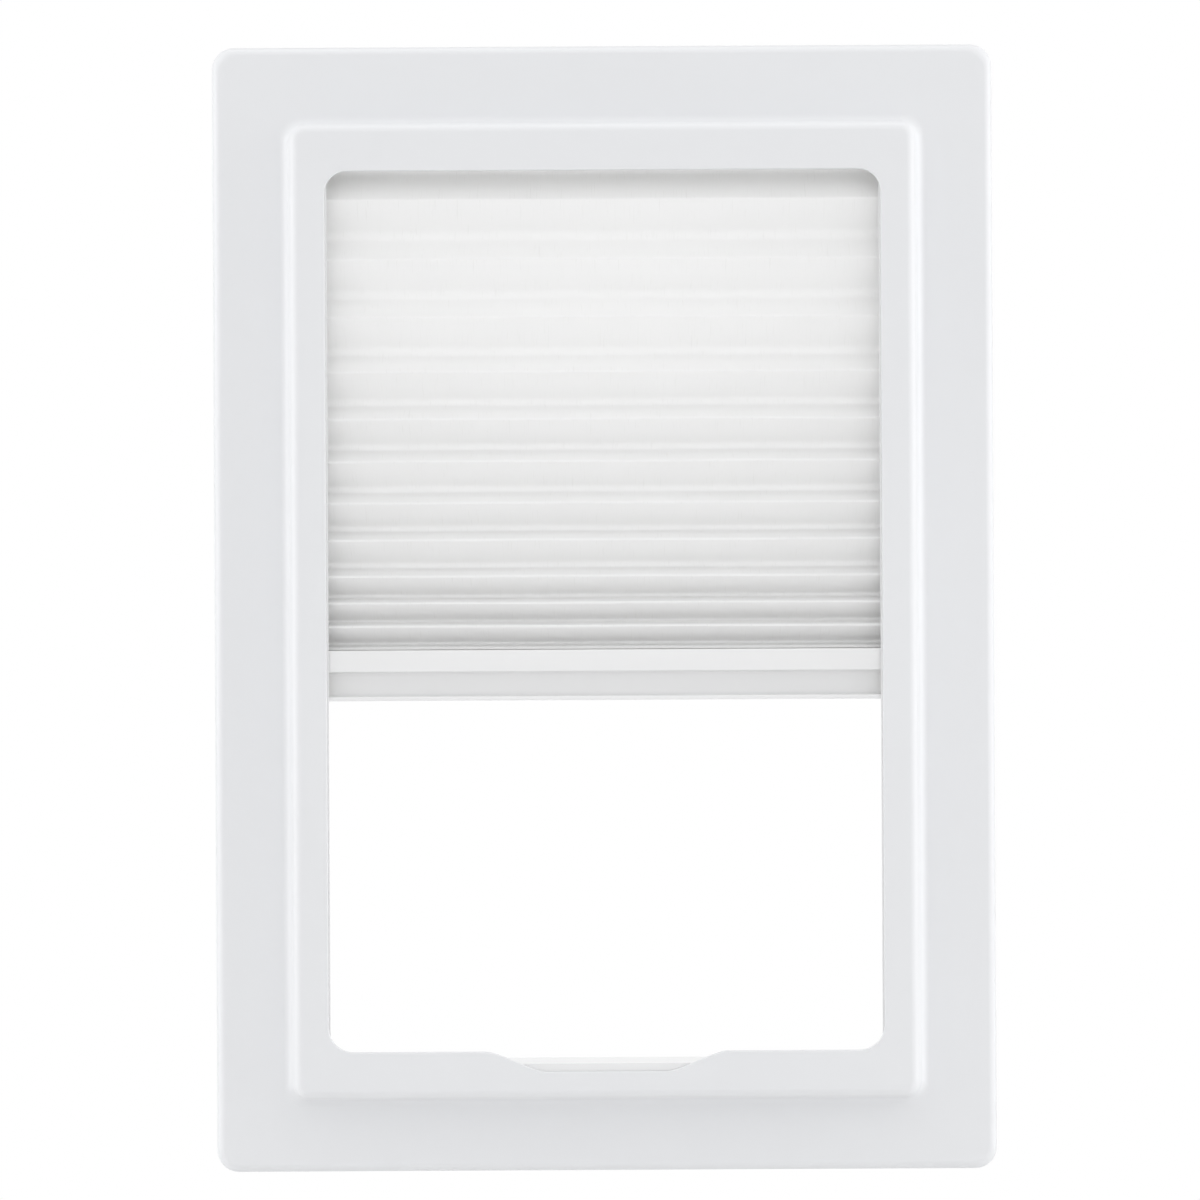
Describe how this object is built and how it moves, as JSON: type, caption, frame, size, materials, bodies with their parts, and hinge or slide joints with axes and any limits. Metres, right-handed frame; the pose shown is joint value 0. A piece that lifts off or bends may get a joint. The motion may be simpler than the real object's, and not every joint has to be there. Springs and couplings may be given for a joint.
{
  "type": "skylight window blind",
  "caption": "White moulded roof skylight frame with a pleated cloth shade on a sliding pull rail behind its rectangular opening.",
  "frame": {"origin": "centre of the window opening in the ceiling plane, on which the rim of the flange rests", "axes": "+Z along the shade's travel towards the head rail, the longest extent, upright as pictured; +Y out of the room into the roof, the shortest extent; the visible face looks along -Y; +X to the right of someone facing it"},
  "size_m": [0.501, 0.038, 0.7221],
  "materials": {
    "white_moulding": "satin white moulded ABS",
    "white_enamel": "white enamelled aluminium section",
    "white_nylon": "white moulded nylon",
    "white_cloth": "white woven polyester with fine slubs, permanently pleated",
    "white_cord": "white braided polyester cord",
    "zinc_steel": "zinc plated steel",
    "spring_steel": "bright spring steel"
  },
  "bodies": {
    "frame": {"fascia": "white_moulding", "head_rail": "white_enamel", "sill_rail": "white_enamel", "side_channel_left": "white_enamel", "side_channel_right": "white_enamel", "corner_block_top_left": "white_nylon", "corner_block_top_right": "white_nylon", "corner_block_bottom_left": "white_nylon", "corner_block_bottom_right": "white_nylon", "cassette_screw_top_left": "zinc_steel", "cassette_screw_top_right": "zinc_steel", "cassette_screw_bottom_left": "zinc_steel", "cassette_screw_bottom_right": "zinc_steel", "cassette_screw_head": "zinc_steel", "cassette_screw_sill": "zinc_steel", "head_strip": "white_nylon", "pleated_shade": "white_cloth", "upper_cord_left": "white_cord", "upper_cord_right": "white_cord", "lower_cord_left": "white_cord", "lower_cord_right": "white_cord", "cord_stop_left": "zinc_steel", "cord_stop_right": "zinc_steel", "cord_spring_left": "spring_steel", "cord_spring_right": "spring_steel", "spring_pin_left": "zinc_steel", "spring_pin_right": "zinc_steel"},
    "rail": {"pull_rail": "white_enamel", "foot_strip": "white_nylon", "end_glide_left": "white_nylon", "end_glide_right": "white_nylon", "glide_screw_left": "zinc_steel", "glide_screw_right": "zinc_steel", "cross_cord_front": "white_cord", "cross_cord_back": "white_cord"}
  },
  "joints": [
    {"name": "shade_travel", "type": "slide", "parent": "frame", "child": "rail", "axis": [0, 0, 1], "range_m": [-0.2297, 0.2913], "deforming": ["pleated_shade", "upper_cord_left", "upper_cord_right", "lower_cord_left", "lower_cord_right"]}
  ]
}
